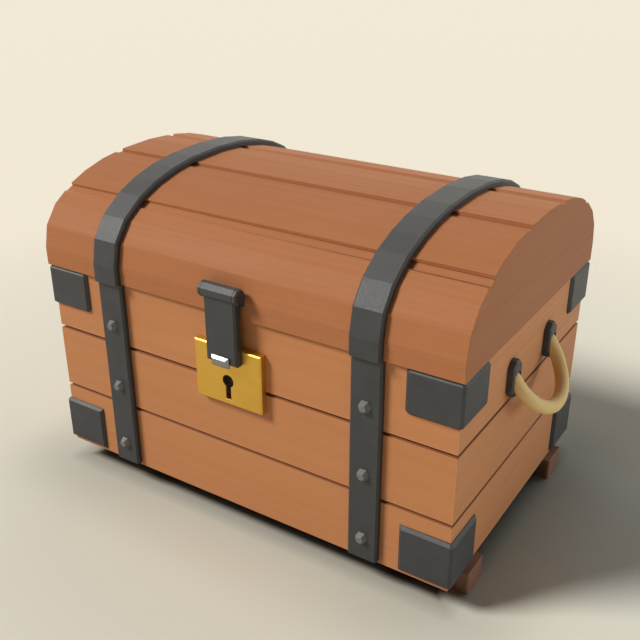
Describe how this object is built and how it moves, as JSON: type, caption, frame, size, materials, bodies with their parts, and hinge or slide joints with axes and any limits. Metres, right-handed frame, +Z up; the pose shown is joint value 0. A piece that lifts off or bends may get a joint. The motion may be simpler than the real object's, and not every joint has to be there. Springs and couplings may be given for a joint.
{
  "type": "treasure chest box",
  "caption": "Domed wooden treasure chest box with iron straps and corners, hinged lid, swinging hasp, brass lock with a sliding bolt and drop handles at both ends.",
  "frame": {"origin": "on the surface the feet stand on, under the middle of the chest", "axes": "+Z up, -Y out of the front with the lock, +X along the chest's length to its right end seen from the front"},
  "size_m": [0.3496, 0.2272, 0.2205],
  "materials": {
    "body_wood": "satin oiled, warm brown",
    "lid_wood": "satin oiled, reddish brown",
    "dark_wood": "dark stained",
    "iron": "blackened iron, satin",
    "steel": "bright, lightly brushed",
    "brass": "satin brass",
    "cane": "smooth, matt tan"
  },
  "bodies": {
    "chest_body": {"back_plank_lower": "body_wood", "back_plank_middle": "body_wood", "back_plank_upper": "body_wood", "bracket_lower_front_left": "iron", "bracket_lower_front_right": "iron", "bracket_lower_rear_left": "iron", "bracket_lower_rear_right": "iron", "bracket_upper_front_left": "iron", "bracket_upper_front_right": "iron", "bracket_upper_rear_left": "iron", "bracket_upper_rear_right": "iron", "corner_post_front_left": "body_wood", "corner_post_front_right": "body_wood", "corner_post_rear_left": "body_wood", "corner_post_rear_right": "body_wood", "floor_board": "body_wood", "foot_front_left": "dark_wood", "foot_front_right": "dark_wood", "foot_rear_left": "dark_wood", "foot_rear_right": "dark_wood", "front_plank_lower": "body_wood", "front_plank_middle": "body_wood", "front_plank_upper": "body_wood", "handle_pins": "iron", "handle_plate_left_front": "iron", "handle_plate_left_rear": "iron", "handle_plate_right_front": "iron", "handle_plate_right_rear": "iron", "left_plank_lower": "body_wood", "left_plank_middle": "body_wood", "left_plank_upper": "body_wood", "lid_hinge_pins": "iron", "lock_back_plate": "steel", "lock_case": "brass", "right_plank_lower": "body_wood", "right_plank_middle": "body_wood", "right_plank_upper": "body_wood", "strap_front_left": "iron", "strap_front_right": "iron", "strap_rear_left": "iron", "strap_rear_right": "iron", "strap_rivets": "iron"},
    "lid": {"hasp_leaf": "iron", "hasp_leaf_screws": "steel", "hasp_pin": "iron", "lid_band_left": "iron", "lid_band_right": "iron", "lid_end_left": "lid_wood", "lid_end_right": "lid_wood", "lid_stave_front": "lid_wood", "lid_stave_front_upper": "lid_wood", "lid_stave_rear": "lid_wood", "lid_stave_rear_upper": "lid_wood", "lid_stave_top": "lid_wood"},
    "hasp": {"hasp_arm": "iron", "hasp_staple": "steel"},
    "bolt": {"lock_bolt": "steel"},
    "left_handle": {"handle_bail_left": "cane"},
    "right_handle": {"handle_bail_right": "cane"}
  },
  "joints": [
    {"name": "lid_hinge", "type": "hinge", "parent": "chest_body", "child": "lid", "pos_m": [0, 0.1072, 0.15365], "axis": [-1, 0, 0], "range_deg": [0, 105]},
    {"name": "hasp_hinge", "type": "hinge", "parent": "lid", "child": "hasp", "pos_m": [0, -0.1077, 0.1708], "axis": [-1, 0, 0], "range_deg": [0, 200]},
    {"name": "lock_bolt_slide", "type": "slide", "parent": "chest_body", "child": "bolt", "axis": [-1, 0, 0], "range_m": [0, 0.007]},
    {"name": "right_handle_swing", "type": "hinge", "parent": "chest_body", "child": "right_handle", "pos_m": [0.1521, 0, 0.1238], "axis": [0, -1, 0], "range_deg": [0, 54]},
    {"name": "left_handle_swing", "type": "hinge", "parent": "chest_body", "child": "left_handle", "pos_m": [-0.1521, 0, 0.1238], "axis": [0, 1, 0], "range_deg": [0, 54]}
  ]
}
